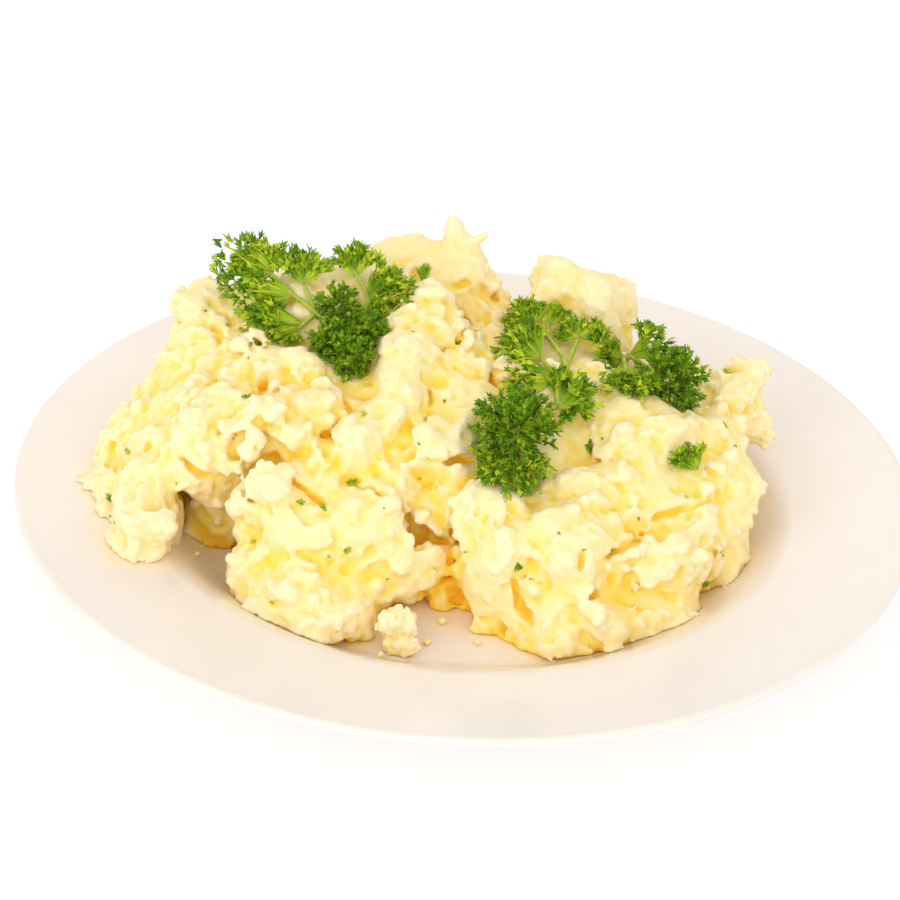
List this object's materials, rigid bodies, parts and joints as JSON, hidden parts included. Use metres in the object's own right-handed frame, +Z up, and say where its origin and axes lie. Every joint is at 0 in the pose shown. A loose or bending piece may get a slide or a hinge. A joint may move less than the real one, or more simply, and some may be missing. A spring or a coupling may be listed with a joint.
{
  "type": "mashed potato side",
  "caption": "Coarse torn mound of mashed potato on a round white plate, topped with curly parsley sprigs and flakes.",
  "frame": {"origin": "under the middle of the plate, on the plane its foot ring stands on", "axes": "+Z up, -Y towards the eater, +X to the eater's right; the long side of the mound runs along X"},
  "size_m": [0.247, 0.247, 0.0786],
  "materials": {
    "glazed_plate": "glossy white glaze on stoneware",
    "mash": "moist pale yellow mashed potato",
    "parsley": "fresh green curly parsley leaf and stem"
  },
  "bodies": {
    "root": {"plate": "glazed_plate", "mash": "mash", "mash_crumb": "mash", "parsley_left": "parsley", "parsley_centre": "parsley", "parsley_right": "parsley", "parsley_leaflet": "parsley"}
  },
  "joints": []
}
